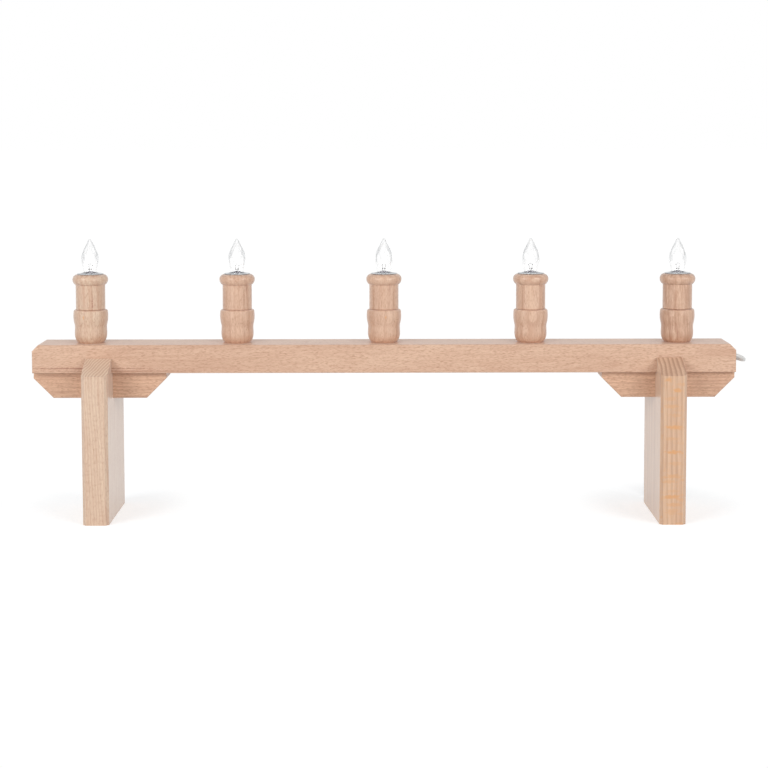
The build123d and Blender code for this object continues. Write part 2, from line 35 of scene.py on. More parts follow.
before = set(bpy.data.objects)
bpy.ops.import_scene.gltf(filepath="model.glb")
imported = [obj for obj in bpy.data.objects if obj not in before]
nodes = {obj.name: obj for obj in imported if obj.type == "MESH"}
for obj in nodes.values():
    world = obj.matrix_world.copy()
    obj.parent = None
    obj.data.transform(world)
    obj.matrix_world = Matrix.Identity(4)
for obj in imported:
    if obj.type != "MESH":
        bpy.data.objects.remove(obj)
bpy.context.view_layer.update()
MM = 0.001
IN_MILLIMETRES = (1 / MM,) * 3
CANDLES = range(1, 6)


def candle_axis(number):
    """X of a candle, from its cup."""
    low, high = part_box(f"candle_cup_{number}")
    return (low.x + high.x) / 2


# Node trees

def add_node(tree, kind, inputs=None, **settings):
    """New node with its settings; an input is a plain value or the socket that feeds it."""
    node = tree.nodes.new(kind)
    for name, value in settings.items():
        setattr(node, name, value)
    for name, value in (inputs or {}).items():
        if isinstance(value, bpy.types.NodeSocket):
            tree.links.new(value, node.inputs[name])
        else:
            node.inputs[name].default_value = value
    return node


def reckon(tree, operation, *values):
    """Math node over numbers and sockets."""
    return add_node(tree, "ShaderNodeMath", dict(enumerate(values)), operation=operation).outputs[0]


def reckon_vector(tree, operation, *vectors):
    """Vector Math node; a length or a dot product is a number, the rest are vectors."""
    node = add_node(tree, "ShaderNodeVectorMath", dict(enumerate(vectors)), operation=operation)
    return node.outputs["Value" if operation in ("LENGTH", "DOT_PRODUCT") else "Vector"]


def clamp(tree, value):
    """Number kept between 0 and 1."""
    return add_node(tree, "ShaderNodeClamp", {0: value}).outputs[0]


def smooth_step(tree, value, start, end):
    """0 before start, 1 after end, smooth between; start may be the larger one."""
    low, high = sorted((start, end))
    ends = (0.0, 1.0) if start < end else (1.0, 0.0)
    inputs = {"Value": value, "From Min": low, "From Max": high, "To Min": ends[0], "To Max": ends[1]}
    return add_node(tree, "ShaderNodeMapRange", inputs, interpolation_type="SMOOTHSTEP").outputs["Result"]


def blend(tree, share, first, second):
    """Colour between two others."""
    node = add_node(tree, "ShaderNodeMix", {0: share, 6: first, 7: second}, data_type="RGBA")
    return node.outputs[2]


def stretched_noise(tree, place, stretch, detail=2.0, roughness=0.5):
    """Noise about zero whose grains measure about one over stretch."""
    scaled = reckon_vector(tree, "MULTIPLY", place, stretch)
    inputs = {"Vector": scaled, "Scale": 1.0, "Detail": detail, "Roughness": roughness}
    noise = add_node(tree, "ShaderNodeTexNoise", inputs)
    return reckon(tree, "SUBTRACT", noise.outputs["Fac"], 0.5)


def new_group(name, inputs, outputs):
    """Empty node group with named sockets, and its two end nodes."""
    tree = bpy.data.node_groups.new(name, "ShaderNodeTree")
    for title, kind, value in inputs:
        socket = tree.interface.new_socket(name=title, in_out="INPUT", socket_type=f"NodeSocket{kind}")
        if value is not None:
            socket.default_value = value
    for title, kind in outputs:
        tree.interface.new_socket(name=title, in_out="OUTPUT", socket_type=f"NodeSocket{kind}")
    return tree, tree.nodes.new("NodeGroupInput").outputs, tree.nodes.new("NodeGroupOutput").inputs


def place_group(tree, group, inputs):
    """Set a node group in a tree, and give its outputs."""
    return add_node(tree, "ShaderNodeGroup", inputs, node_tree=group).outputs


# Figure of the beech: the first two are lengths in millimetres, the others plain factors
RIPPLE_REACH = 0.7
FLECK_RADIUS = 70.0
END_RING_GAIN = 1.6
FIBRE_CONTRAST = 1.0
CLOUD_CONTRAST = 0.7
MIDDLE_TONE = 0.4
WOOD_GLOSS = 0.38


def build_beech_figure():
    """Solid beech round a pith line: year rings, fibre streaks, and rays seen as flecks or as flakes.

    Place is in millimetres with the grain along Z and the pith on the Z axis.
    """
    tree, given, result = new_group(
        "beech_figure",
        [
            ("Place", "Vector", None),
            ("End grain", "Float", 0.0),
            ("Pale", "Color", None),
            ("Dark", "Color", None),
            ("Fleck", "Color", None),
            ("Ring width", "Float", 4.0),
            ("Ring contrast", "Float", 0.4),
            ("Ring bow", "Float", 14.0),
            ("End darkness", "Float", 0.4),
            ("Streak contrast", "Float", 0.7),
            ("Dash contrast", "Float", 0.5),
            ("Fleck contrast", "Float", 0.4),
            ("Fleck width", "Float", 0.6),
            ("Fleck height", "Float", 2.6),
            ("Fleck depth", "Float", 8.0),
        ],
        [("Colour", "Color"), ("Roughness", "Float"), ("Height", "Float")],
    )
    place = given["Place"]
    across = add_node(tree, "ShaderNodeSeparateXYZ", {0: place}).outputs
    bow = stretched_noise(tree, place, (0.03, 0.03, 0.006), 2.0)
    ripple = stretched_noise(tree, place, (0.16, 0.16, 0.035), 2.0)
    squares = [reckon(tree, "POWER", across[side], 2.0) for side in (0, 1)]
    depth = reckon(tree, "SQRT", reckon(tree, "ADD", *squares))
    depth = reckon(tree, "MULTIPLY_ADD", bow, given["Ring bow"], depth)
    depth = reckon(tree, "MULTIPLY_ADD", ripple, RIPPLE_REACH, depth)
    around = reckon(tree, "MULTIPLY", reckon(tree, "ARCTAN2", across[1], across[0]), FLECK_RADIUS)

    ring = reckon(tree, "FRACT", reckon(tree, "DIVIDE", depth, given["Ring width"]))
    late = smooth_step(tree, ring, 0.25, 0.93)
    late = reckon(tree, "MULTIPLY", late, smooth_step(tree, ring, 1.0, 0.95))
    late = reckon(tree, "SUBTRACT", late, 0.4)

    fleck_place = add_node(
        tree,
        "ShaderNodeCombineXYZ",
        {
            0: reckon(tree, "DIVIDE", around, given["Fleck width"]),
            1: reckon(tree, "DIVIDE", depth, given["Fleck depth"]),
            2: reckon(tree, "DIVIDE", across[2], given["Fleck height"]),
        },
    )
    cells = add_node(
        tree,
        "ShaderNodeTexVoronoi",
        {"Vector": fleck_place.outputs[0], "Scale": 1.0, "Randomness": 1.0},
    )
    chance = add_node(tree, "ShaderNodeSeparateColor", {0: cells.outputs["Color"]}).outputs[0]
    fleck = smooth_step(tree, cells.outputs["Distance"], 0.55, 0.2)
    fleck = reckon(tree, "MULTIPLY", fleck, smooth_step(tree, chance, 0.25, 0.95))

    fibre = stretched_noise(tree, place, (1.5, 1.5, 0.07), 4.0, 0.65)
    streak = stretched_noise(tree, place, (0.5, 0.5, 0.03), 3.0, 0.6)
    cloud = stretched_noise(tree, place, (0.06, 0.06, 0.014), 3.0)
    dash = stretched_noise(tree, place, (2.2, 2.2, 0.3), 3.0, 0.6)
    dash = smooth_step(tree, dash, -0.03, 0.2)
    end_gain = reckon(tree, "MULTIPLY_ADD", given["End grain"], END_RING_GAIN, 1.0)
    share = reckon(tree, "MULTIPLY", reckon(tree, "MULTIPLY", late, given["Ring contrast"]), end_gain)
    share = reckon(tree, "MULTIPLY_ADD", fibre, FIBRE_CONTRAST, share)
    share = reckon(tree, "MULTIPLY_ADD", streak, given["Streak contrast"], share)
    share = reckon(tree, "MULTIPLY_ADD", cloud, CLOUD_CONTRAST, share)
    share = reckon(tree, "MULTIPLY_ADD", given["End grain"], given["End darkness"], share)
    share = clamp(tree, reckon(tree, "ADD", share, MIDDLE_TONE))
    colour = blend(tree, share, given["Pale"], given["Dark"])
    side_grain = reckon(tree, "SUBTRACT", 1.0, given["End grain"])
    fleck_share = reckon(tree, "MULTIPLY", fleck, given["Fleck contrast"])
    fleck_share = reckon(tree, "MULTIPLY_ADD", dash, given["Dash contrast"], fleck_share)
    fleck_share = reckon(tree, "MULTIPLY", fleck_share, side_grain)
    tree.links.new(blend(tree, fleck_share, colour, given["Fleck"]), result["Colour"])
    tree.links.new(reckon(tree, "MULTIPLY_ADD", fibre, 0.2, WOOD_GLOSS), result["Roughness"])
    height = reckon(tree, "MULTIPLY_ADD", fleck, -0.4, fibre)
    tree.links.new(height, result["Height"])
    return tree


FRAY_REACH = 2.2


def build_wood_mark():
    """Single streak, spot or flake in the wood: 1 in its middle, 0 outside, with frayed edges."""
    tree, given, result = new_group(
        "wood_mark",
        [("Place", "Vector", None), ("Middle", "Vector", (0, 0, 0)), ("Half size", "Vector", (1, 1, 1))],
        [("Mask", "Float")],
    )
    away = reckon_vector(tree, "SUBTRACT", given["Place"], given["Middle"])
    reach = reckon_vector(tree, "LENGTH", reckon_vector(tree, "DIVIDE", away, given["Half size"]))
    fray = stretched_noise(tree, given["Place"], (0.5, 0.5, 1.2), 3.0, 0.7)
    reach = reckon(tree, "MULTIPLY_ADD", fray, FRAY_REACH, reach)
    tree.links.new(smooth_step(tree, reach, 1.0, 0.3), result["Mask"])
    return tree


def build_moulded_skin():
    """Faint mottling, uneven gloss and fine orange peel of a moulded plastic."""
    tree, given, result = new_group(
        "moulded_skin",
        [
            ("Place", "Vector", None), ("Colour", "Color", None),
            ("Shade", "Color", None), ("Gloss", "Float", 0.4),
        ],
        [("Colour", "Color"), ("Roughness", "Float"), ("Height", "Float")],
    )
    broad = stretched_noise(tree, given["Place"], (120.0, 120.0, 120.0), 3.0)
    fine = stretched_noise(tree, given["Place"], (1800.0, 1800.0, 1800.0), 2.0)
    share = clamp(tree, reckon(tree, "MULTIPLY_ADD", broad, 0.9, 0.35))
    tree.links.new(blend(tree, share, given["Colour"], given["Shade"]), result["Colour"])
    rough = reckon(tree, "MULTIPLY_ADD", broad, 0.16, given["Gloss"])
    tree.links.new(reckon(tree, "MULTIPLY_ADD", fine, 0.06, rough), result["Roughness"])
    tree.links.new(fine, result["Height"])
    return tree


def build_metal_finish():
    """Bare metal: clouded tarnish, fine scratches and uneven polish."""
    tree, given, result = new_group(
        "metal_finish",
        [
            ("Place", "Vector", None), ("Bright", "Color", None),
            ("Tarnish", "Color", None), ("Polish", "Float", 0.3),
        ],
        [("Colour", "Color"), ("Roughness", "Float"), ("Height", "Float")],
    )
    cloud = stretched_noise(tree, given["Place"], (260.0, 260.0, 260.0), 4.0, 0.6)
    scratch = stretched_noise(tree, given["Place"], (5200.0, 420.0, 900.0), 2.0)
    share = clamp(tree, reckon(tree, "MULTIPLY_ADD", cloud, 1.6, 0.3))
    tree.links.new(blend(tree, share, given["Bright"], given["Tarnish"]), result["Colour"])
    rough = reckon(tree, "MULTIPLY_ADD", cloud, 0.25, given["Polish"])
    tree.links.new(reckon(tree, "MULTIPLY_ADD", scratch, 0.12, rough), result["Roughness"])
    tree.links.new(scratch, result["Height"])
    return tree


beech_figure = build_beech_figure()
wood_mark = build_wood_mark()
moulded_skin = build_moulded_skin()
metal_finish = build_metal_finish()


# Materials

def new_material(name, **constants):
    """Material with a Principled shader whose plain values are set on its own sockets."""
    material = bpy.data.materials.new(name)
    material.use_nodes = True
    tree = material.node_tree
    tree.nodes.clear()
    shader = add_node(tree, "ShaderNodeBsdfPrincipled", constants)
    output = add_node(tree, "ShaderNodeOutputMaterial", {"Surface": shader.outputs[0]})
    output.is_active_output = True
    return material, tree, shader


def finish_surface(tree, shader, look, bump_depth):
    """Join a group's colour, gloss and height to the shader."""
    tree.links.new(look["Colour"], shader.inputs["Base Color"])
    tree.links.new(look["Roughness"], shader.inputs["Roughness"])
    relief = {"Height": look["Height"], "Strength": 1.0, "Distance": bump_depth}
    bump = add_node(tree, "ShaderNodeBump", relief)
    tree.links.new(bump.outputs[0], shader.inputs["Normal"])


WOOD_BUMP = 0.05 * MM
PLASTIC_BUMP = 0.02 * MM
METAL_BUMP = 0.01 * MM
GLASS_BUMP = 0.05 * MM
# Turn that brings the grain onto Z, and the way that the grain runs
GRAIN_TURN = {"X": Euler((0, radians(-90), 0)), "Z": Euler((0, 0, 0))}
GRAIN_WAY = {"X": (1, 0, 0), "Z": (0, 0, 1)}


def make_beech(name, grain, pith, lean, pale, dark, fleck, marks=(), wax=0.3, sheen=0.25, **figure):
    """Beech cut from one log: grain direction, pith place in mm, lean of the pith line in degrees.

    A mark has its middle and half size in mm, its colour and its strength. Wax is the share of a thin
    glossy coat. The figure's values go by the names of the group's inputs.
    """
    shine = {"Sheen Weight": sheen, "Sheen Roughness": 0.5, "Coat Weight": wax, "Coat Roughness": 0.25}
    material, tree, shader = new_material(name, **shine)
    turn = Euler([radians(angle) for angle in lean]).to_matrix() @ GRAIN_TURN[grain].to_matrix()
    coordinates = add_node(tree, "ShaderNodeTexCoord").outputs["Object"]
    mapping = add_node(
        tree,
        "ShaderNodeMapping",
        {
            "Vector": coordinates,
            "Location": -(turn @ Vector(pith)),
            "Rotation": turn.to_euler(),
            "Scale": IN_MILLIMETRES,
        },
    )
    normal = add_node(tree, "ShaderNodeNewGeometry").outputs["Normal"]
    facing = reckon_vector(tree, "DOT_PRODUCT", normal, GRAIN_WAY[grain])
    end_grain = smooth_step(tree, reckon(tree, "ABSOLUTE", facing), 0.45, 0.98)
    look = place_group(
        tree,
        beech_figure,
        {
            "Place": mapping.outputs[0],
            "End grain": end_grain,
            "Pale": (*pale, 1),
            "Dark": (*dark, 1),
            "Fleck": (*fleck, 1),
            **figure,
        },
    )
    finish_surface(tree, shader, look, WOOD_BUMP)
    if marks:
        plain = add_node(tree, "ShaderNodeMapping", {"Vector": coordinates, "Scale": IN_MILLIMETRES})
        colour = look["Colour"]
        for middle, half_size, mark_colour, strength in marks:
            spread = {"Place": plain.outputs[0], "Middle": middle, "Half size": half_size}
            mask = place_group(tree, wood_mark, spread)["Mask"]
            colour = blend(tree, reckon(tree, "MULTIPLY", mask, strength), colour, (*mark_colour, 1))
        tree.links.new(colour, shader.inputs["Base Color"])
    return material


def make_plastic(name, colour, shade, gloss):
    """Moulded plastic, mottled between two colours."""
    material, tree, shader = new_material(name)
    place = add_node(tree, "ShaderNodeTexCoord").outputs["Object"]
    look = place_group(
        tree,
        moulded_skin,
        {"Place": place, "Colour": (*colour, 1), "Shade": (*shade, 1), "Gloss": gloss},
    )
    finish_surface(tree, shader, look, PLASTIC_BUMP)
    return material


def make_metal(name, bright, tarnish, polish):
    """Bare metal, clouded between its bright and its tarnished colour."""
    material, tree, shader = new_material(name, Metallic=1.0)
    place = add_node(tree, "ShaderNodeTexCoord").outputs["Object"]
    look = place_group(
        tree,
        metal_finish,
        {"Place": place, "Bright": (*bright, 1), "Tarnish": (*tarnish, 1), "Polish": polish},
    )
    finish_surface(tree, shader, look, METAL_BUMP)
    return material


# Painted shade on the glass: the grey laid on its edges where it turns from view, and the heights in metres
# over which it comes in towards the point
PAINTED_EDGE_SHADE = (0.66, 0.67, 0.68)
POINT_HEIGHTS = (0.204, 0.215)


def make_clear_glass(name):
    """Clear blown glass with faint waves, a trace of handling, and painted shade: a grey edge towards its
    point.
    """
    material, tree, shader = new_material(name, **{"Transmission Weight": 1.0, "IOR": 1.46})
    place = add_node(tree, "ShaderNodeTexCoord").outputs["Object"]
    smudge = stretched_noise(tree, place, (300.0, 300.0, 160.0), 3.0)
    rough = clamp(tree, reckon(tree, "MULTIPLY_ADD", smudge, 0.06, 0.01))
    tree.links.new(rough, shader.inputs["Roughness"])
    wave = stretched_noise(tree, place, (420.0, 420.0, 150.0), 1.0)
    bump = add_node(tree, "ShaderNodeBump", {"Height": wave, "Strength": 0.3, "Distance": GLASS_BUMP})
    tree.links.new(bump.outputs[0], shader.inputs["Normal"])
    height = add_node(tree, "ShaderNodeSeparateXYZ", {0: place}).outputs[2]
    # Painted shade: grey towards the edges that turn away from the view, in the upper part only
    facing = add_node(tree, "ShaderNodeLayerWeight", {"Blend": 0.5}).outputs["Facing"]
    edge = smooth_step(tree, facing, 0.05, 0.75)
    edge = reckon(tree, "MULTIPLY", edge, smooth_step(tree, height, *POINT_HEIGHTS))
    tree.links.new(blend(tree, edge, (1, 1, 1, 1), (*PAINTED_EDGE_SHADE, 1)), shader.inputs["Base Color"])
    return material


PALE_BEECH = (0.750, 0.505, 0.360)
DARK_BEECH = (0.590, 0.350, 0.238)
SHADED_BEECH = (0.765, 0.490, 0.330)
FLECK_BEECH = (0.470, 0.252, 0.158)
YELLOW_BEECH = (0.770, 0.585, 0.430)
ORANGE_BEECH = (0.760, 0.515, 0.340)
FLAKE_BEECH = (0.700, 0.350, 0.145)
RED_STREAK = (0.330, 0.130, 0.085)

beam_beech = make_beech(
    "beam_beech", "X", (0, -160, 128), (0.6, 1.2, 0), PALE_BEECH, DARK_BEECH, FLECK_BEECH,
    marks=[
        ((-240, -20, 123.5), (75, 9, 0.9), RED_STREAK, 0.6),
        ((-220, -20, 121.3), (90, 9, 0.8), RED_STREAK, 0.5),
        ((-190, -20, 139.3), (30, 9, 0.7), RED_STREAK, 0.3),
    ],
    wax=0.0,
    sheen=0.12,
    **{
        "Ring width": 5.5, "Ring contrast": 0.25, "Fleck height": 3.2, "Fleck contrast": 0.3,
        "Streak contrast": 1.3, "Dash contrast": 0.85,
    },
)
cover_beech = make_beech(
    "cover_beech", "X", (0, 60, 40), (0, 1, 0), PALE_BEECH, DARK_BEECH, FLECK_BEECH,
)
bracket_beech = {
    "left_bracket": make_beech(
        "left_bracket_beech", "X", (-231, -120, 20), (1.0, -1.5, 0), SHADED_BEECH, DARK_BEECH, FLECK_BEECH,
        wax=0.0, sheen=0.05,
        **{"Ring width": 2.2, "Ring contrast": 0.6, "Streak contrast": 1.7, "Dash contrast": 0.75},
    ),
    "right_bracket": make_beech(
        "right_bracket_beech", "X", (231, -110, 20), (-1.0, 1.0, 0), SHADED_BEECH, DARK_BEECH, FLECK_BEECH,
        wax=0.0, sheen=0.05,
        **{"Ring width": 2.4, "Ring contrast": 0.6, "Streak contrast": 1.7, "Dash contrast": 0.75},
    ),
}
# Ray flakes on the front of the right leg: height, place across and half length in mm, and strength
LEG_FLAKES = [
    (116.9, 226.5, 3.4, 0.9), (108.5, 233.3, 4.8, 1.0), (101.5, 228, 6.0, 0.4), (95.6, 230, 7.6, 0.5),
    (88.5, 232, 6.5, 0.35), (78.8, 231, 10.0, 1.0), (69.5, 229, 8.0, 0.35), (58.7, 230.5, 8.4, 1.1),
    (49.4, 232, 7.0, 0.4), (39.2, 231, 10.0, 0.6), (35.0, 228, 8.0, 0.5), (22.6, 230, 9.6, 1.0),
    (16.2, 232, 9.0, 0.6), (9.8, 229, 7.0, 0.4),
]
LEG_FRONT = -45
FLAKE_HALF_SIZE = (12, 2.2)
FLAKE_STRENGTH = 0.9
leg_beech = {
    "left_leg": make_beech(
        "left_leg_beech", "Z", (-31, -108, 60), (0.8, 0.6, 0), YELLOW_BEECH, DARK_BEECH, FLECK_BEECH,
        wax=0.55,
        **{
            "Ring width": 2.4, "Ring contrast": 0.36, "End darkness": 0.1, "Streak contrast": 0.5,
            "Fleck contrast": 0.2, "Dash contrast": 0.45,
        },
    ),
    "right_leg": make_beech(
        "right_leg_beech", "Z", (90, -36, 60), (0.3, 0.4, 0), ORANGE_BEECH, FLECK_BEECH, FLAKE_BEECH,
        marks=[
            ((x, LEG_FRONT, z), (reach, *FLAKE_HALF_SIZE), FLAKE_BEECH, FLAKE_STRENGTH * strength)
            for z, x, reach, strength in LEG_FLAKES
        ],
        wax=0.55,
        **{
            "Ring width": 3.7, "Ring contrast": 0.36, "Ring bow": 4.0, "End darkness": 0.3,
            "Streak contrast": 0.5, "Dash contrast": 0.3,
            "Fleck width": 1.0, "Fleck height": 3.4, "Fleck depth": 16.0,
        },
    ),
}
glass = make_clear_glass("clear_glass")
disc_metal = make_metal("disc_metal", (0.60, 0.62, 0.64), (0.46, 0.48, 0.50), 0.3)
# Painted shade: a darker copy of the disc metal, for the raised ring round the bulb hole
painted_shade_metal = make_metal("painted_shade_metal", (0.40, 0.41, 0.43), (0.28, 0.28, 0.30), 0.35)
brass = make_metal("brass", (0.80, 0.60, 0.28), (0.52, 0.36, 0.15), 0.3)
cap_metal = make_metal("cap_metal", (0.74, 0.70, 0.62), (0.48, 0.44, 0.38), 0.28)
filament_wire = make_metal("filament_wire", (0.30, 0.29, 0.28), (0.12, 0.12, 0.12), 0.4)
screw_steel = make_metal("screw_steel", (0.70, 0.66, 0.52), (0.46, 0.42, 0.30), 0.35)
pin_metal = make_metal("pin_metal", (0.78, 0.77, 0.75), (0.55, 0.54, 0.52), 0.22)
stem_press = make_plastic("stem_press", (0.36, 0.34, 0.38), (0.28, 0.26, 0.29), 0.25)
holder_plastic = make_plastic("holder_plastic", (0.80, 0.78, 0.72), (0.72, 0.69, 0.62), 0.45)
cap_insulator = make_plastic("cap_insulator", (0.03, 0.03, 0.035), (0.05, 0.05, 0.055), 0.2)
wire_sheath = make_plastic("wire_sheath", (0.76, 0.75, 0.72), (0.66, 0.65, 0.61), 0.4)
bush_plastic = make_plastic("bush_plastic", (0.80, 0.79, 0.76), (0.70, 0.69, 0.66), 0.4)
cord_sheath = make_plastic("cord_sheath", (0.78, 0.77, 0.75), (0.66, 0.65, 0.63), 0.3)
tie_band = make_plastic("tie_band", (0.62, 0.62, 0.60), (0.50, 0.50, 0.48), 0.5)
plug_plastic = make_plastic("plug_plastic", (0.80, 0.79, 0.77), (0.74, 0.73, 0.70), 0.36)


def dress(node, material):
    """Give a CAD node its finished material."""
    mesh = nodes[node].data
    mesh.materials.clear()
    mesh.materials.append(material)


dress("beam", beam_beech)
dress("wiring_cover", cover_beech)
for board, material in {**bracket_beech, **leg_beech}.items():
    dress(board, material)
dress("terminal_tabs", brass)
dress("wiring_loom", wire_sheath)
dress("cord_bush", bush_plastic)
dress("plug_body", plug_plastic)

# Middle height of a candle, and how far apart its cup and its sleeve lay in the stick, both in mm
CANDLE_MIDDLE = 170
SLEEVE_SHIFT = 7
# Each candle is turned from its own stick: pith beside its axis in mm, lean in degrees, width in mm and
# contrast of its rings, pale and dark colour, contrast of its streaks, and the marks that stand out.
CANDLE_PITH = [(34, -46, 0), (-52, -30, 0), (26, 60, 0), (1, 44, 0), (8, -15, 0)]
CANDLE_LEAN = [(1, 2, 0), (-2, 1, 0), (2, -2, 0), (-1, 2, 0), (-5, 4, 0)]
CANDLE_RING = [(4.2, 0.3), (3.6, 0.35), (4.0, 0.35), (3.4, 0.55), (6.4, 0.22)]
CANDLE_WOOD = [
    (YELLOW_BEECH, DARK_BEECH),
    (PALE_BEECH, DARK_BEECH),
    (PALE_BEECH, DARK_BEECH),
    (PALE_BEECH, DARK_BEECH),
    (PALE_BEECH, FLECK_BEECH),
]
CANDLE_STREAK = [1.1, 1.1, 1.2, 1.2, 2.2]
CANDLE_MARKS = {
    "sleeve_1": [
        ((-236.8, -12, 175), (0.55, 4, 7.5), RED_STREAK, 0.8),
        ((-236.8, -12, 182), (0.5, 4, 12), RED_STREAK, 0.4),
        ((-240.6, -12, 174), (0.5, 4, 4), RED_STREAK, 0.35),
    ],
    "cup_1": [((-243.7, -13, 164), (0.9, 4, 1.7), FLAKE_BEECH, 0.7)],
    "sleeve_2": [
        ((-113.6, -10, 180), (0.7, 4, 14), FLECK_BEECH, 0.7),
        ((-111.8, -9, 187), (0.6, 4, 7), RED_STREAK, 0.45),
        ((-128.0, -9, 178), (0.8, 4, 12), FLECK_BEECH, 0.4),
    ],
    "cup_2": [((-110.6, -8, 162), (0.7, 4, 10), FLECK_BEECH, 0.6)],
    "sleeve_3": [
        ((-8.4, -9, 177), (0.7, 4, 13), FLECK_BEECH, 0.6),
        ((4.8, -11.4, 187), (0.5, 4, 5), RED_STREAK, 0.5),
        ((8.0, -9.3, 177), (0.7, 4, 10), FLECK_BEECH, 0.6),
    ],
    "cup_3": [
        ((1.5, -13.3, 164), (0.9, 4, 1.7), FLAKE_BEECH, 0.7),
        ((10.6, -7.5, 156), (1.0, 5, 14), FLECK_BEECH, 0.5),
    ],
    "sleeve_4": [
        ((112.6, -9.6, 178), (0.8, 4, 14), FLECK_BEECH, 0.55),
        ((129.6, -8, 178), (1.2, 4, 14), FLECK_BEECH, 0.6),
        ((126.4, -10.5, 190), (0.6, 4, 6), RED_STREAK, 0.4),
    ],
    "cup_4": [((128.6, -9.5, 158), (0.7, 4, 12), FLECK_BEECH, 0.4)],
    "sleeve_5": [
        ((237.0, -12, 178), (0.6, 4, 13), FLECK_BEECH, 0.7),
        ((247.4, -9, 180), (3.6, 6, 16), FLECK_BEECH, 0.45),
    ],
    "cup_5": [
        ((234.6, -12, 160), (0.8, 4, 9), FLECK_BEECH, 0.7),
        ((238.3, -13, 151), (0.6, 4, 7), RED_STREAK, 0.45),
        ((246.4, -11.5, 160), (0.8, 4, 10), FLECK_BEECH, 0.6),
    ],
}
for number, offset, lean, (pale, dark), (ring_width, ring_contrast), streak in zip(
    CANDLES, CANDLE_PITH, CANDLE_LEAN, CANDLE_WOOD, CANDLE_RING, CANDLE_STREAK,
):
    for piece, shift in (("cup", 0), ("sleeve", SLEEVE_SHIFT)):
        pith = Vector(offset) + Vector((candle_axis(number) / MM + shift, shift, CANDLE_MIDDLE))
        turned = make_beech(
            f"{piece}_beech_{number}", "Z", pith, lean, pale, dark, FLECK_BEECH,
            marks=CANDLE_MARKS.get(f"{piece}_{number}", ()),
            wax=0.15,
            **{
                "Ring width": ring_width, "Ring contrast": ring_contrast, "Fleck height": 3.0,
                "Streak contrast": streak, "Dash contrast": 0.6,
            },
        )
        dress(f"candle_{piece}_{number}", turned)
    dress(f"lamp_holder_{number}", holder_plastic)
    dress(f"centre_contact_{number}", brass)


# Mesh pieces

DOUBLES = 0.002 * MM
SHARP_ANGLE = radians(38)


def add_piece(name, bm, materials, body, slot, *replaced):
    """Merge and link a bmesh as a piece that rides on a body and stands for CAD nodes."""
    bmesh.ops.remove_doubles(bm, verts=bm.verts, dist=DOUBLES)
    bmesh.ops.recalc_face_normals(bm, faces=bm.faces)
    for face in bm.faces:
        face.smooth = True
    mesh = bpy.data.meshes.new(name)
    bm.to_mesh(mesh)
    bm.free()
    mesh.set_sharp_from_angle(angle=SHARP_ANGLE)
    for material in materials:
        mesh.materials.append(material)
    piece = bpy.data.objects.new(name, mesh)
    bpy.context.scene.collection.objects.link(piece)
    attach(piece, body)
    if replaced:
        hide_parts(*replaced)
    return piece


def draw_line(bm, points):
    """Chain of edges through points."""
    verts = [bm.verts.new(point) for point in points]
    edges = [bm.edges.new(pair) for pair in zip(verts, verts[1:])]
    return verts + edges


def turn_outline(bm, outline, x, y, z, steps=48, material=0):
    """Spin a half outline of (radius, height) points in mm round the upright axis at x, y, from level z."""
    geometry = draw_line(bm, [(x + r * MM, y, z + h * MM) for r, h in outline])
    before = set(bm.faces)
    bmesh.ops.spin(
        bm, geom=geometry, cent=(x, y, z), axis=(0, 0, 1), dvec=(0, 0, 0),
        angle=2 * pi, steps=steps, use_merge=True, use_duplicate=False,
    )
    for face in set(bm.faces) - before:
        face.material_index = material


def bezier_outline(*spans, steps=14):
    """Outline of (radius, height) points through curved spans, each given by its four handles."""
    points = []
    for span in spans:
        drawn = interpolate_bezier(*[Vector((r, h, 0)) for r, h in span], steps)
        points += drawn[1 if points else 0:]
    return [(point.x, point.y) for point in points]


def extruded_edges(bm, edges, move):
    """Extrude a loop of edges, move it, and give the new loop."""
    made = bmesh.ops.extrude_edge_only(bm, edges=edges)["geom"]
    verts = [element for element in made if isinstance(element, bmesh.types.BMVert)]
    bmesh.ops.translate(bm, verts=verts, vec=move)
    ends = set(verts)
    return [
        element for element in made
        if isinstance(element, bmesh.types.BMEdge) and set(element.verts) <= ends
    ]


def add_wall(piece, thickness, offset):
    """Give an open or closed skin its thickness: outwards for 1, inwards for -1, both ways for 0."""
    wall = piece.modifiers.new("wall", "SOLIDIFY")
    wall.thickness = thickness
    wall.offset = offset


def cut_level(bm, z, keep_above):
    """Cut a threaded tube off level, and keep what lies above the cut or below it."""
    bmesh.ops.bisect_plane(
        bm, geom=bm.verts[:] + bm.edges[:] + bm.faces[:], dist=1e-7,
        plane_co=(0, 0, z), plane_no=(0, 0, 1), clear_inner=keep_above, clear_outer=not keep_above,
    )


THREAD_PITCH = 1.814 * MM
THREAD_STEPS = 36
THREAD_ROWS = 8
THREAD_DOUBLES = 0.005 * MM
SPARE_TURNS = 2


def thread_surface(x, crest, root, low, high):
    """Rolled thread from low to high as an open tube: a wave of one pitch, wound up like a screw."""
    bm = bmesh.new()
    start = low - SPARE_TURNS * THREAD_PITCH
    turns = int((high - low) / THREAD_PITCH) + 2 * SPARE_TURNS
    middle = (crest + root) / 2
    swing = (crest - root) / 2
    wave = []
    for row in range(THREAD_ROWS + 1):
        share = row / THREAD_ROWS
        wave.append((x + middle + swing * cos(2 * pi * share), 0, start + THREAD_PITCH * share))
    bmesh.ops.spin(
        bm, geom=draw_line(bm, wave), cent=(x, 0, 0), axis=(0, 0, 1),
        dvec=(0, 0, THREAD_PITCH / THREAD_STEPS), angle=2 * pi * turns, steps=THREAD_STEPS * turns,
        use_merge=False, use_duplicate=False,
    )
    bmesh.ops.remove_doubles(bm, verts=bm.verts, dist=THREAD_DOUBLES)
    cut_level(bm, low, True)
    cut_level(bm, high, False)
    return bm


SHELL_CREST = 4.85 * MM
SHELL_ROOT = 4.5 * MM
SHELL_WALL = 0.35 * MM
SHELL_TRIM = 0.05 * MM


